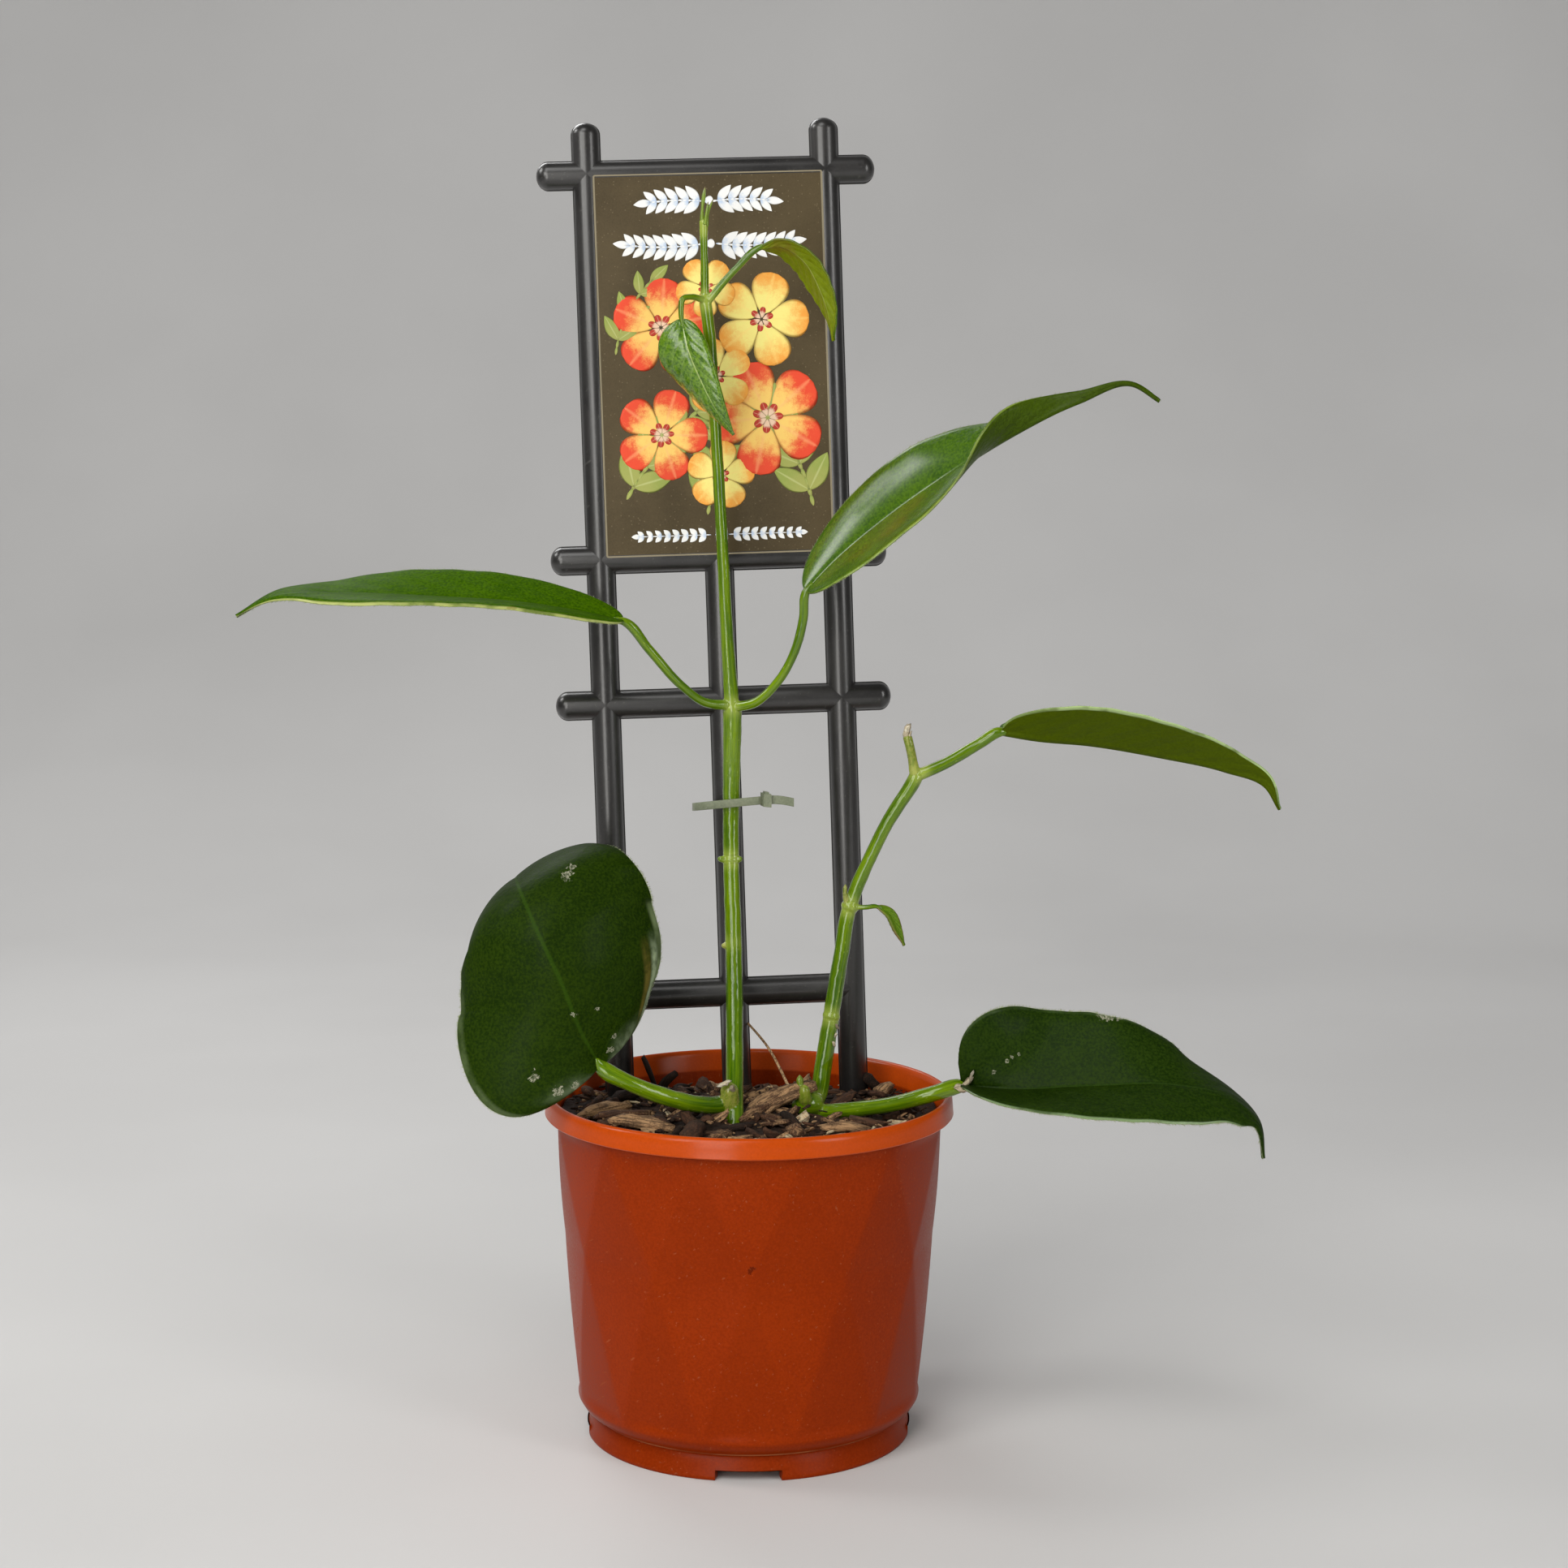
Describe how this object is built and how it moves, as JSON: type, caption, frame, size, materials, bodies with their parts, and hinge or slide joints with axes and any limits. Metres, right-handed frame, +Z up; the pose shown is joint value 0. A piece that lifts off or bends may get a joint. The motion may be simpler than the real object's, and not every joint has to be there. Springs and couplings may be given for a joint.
{
  "type": "potted plant",
  "caption": "Climbing hoya with thick waxy leaves in a round plastic nursery pot, its stem tied to a black ladder trellis that carries a picture card.",
  "frame": {"origin": "middle of the pot's underside, on the plane that it stands on", "axes": "+Z up, -Y towards the front of the card, +X to the right as seen from the front"},
  "size_m": [0.3567, 0.14, 0.4516],
  "materials": {
    "pot_plastic": "satin orange-brown polypropylene",
    "bark_mix": "damp bark and coir",
    "trellis_plastic": "satin black moulding",
    "card": "laminated print",
    "tie_plastic": "cloudy clear grey",
    "stem_green": "waxy yellow-green stem",
    "leaf_dark": "dark waxy leaf",
    "leaf_bright": "bright waxy leaf",
    "leaf_yellow_green": "yellow-green leaf underside",
    "leaf_young": "glossy young leaf"
  },
  "bodies": {
    "root": {"pot": "pot_plastic", "potting_mix": "bark_mix", "trellis": "trellis_plastic", "label_card": "card", "plant_tie": "tie_plastic", "stem_main": "stem_green", "stem_side": "stem_green", "leaf_lower_left": "leaf_dark", "leaf_lower_right": "leaf_dark", "leaf_upper_left": "leaf_bright", "leaf_upper_right": "leaf_bright", "leaf_side_top": "leaf_yellow_green", "leaf_side_small": "leaf_yellow_green", "leaf_young_left": "leaf_young", "leaf_young_right": "leaf_yellow_green"}
  },
  "joints": []
}
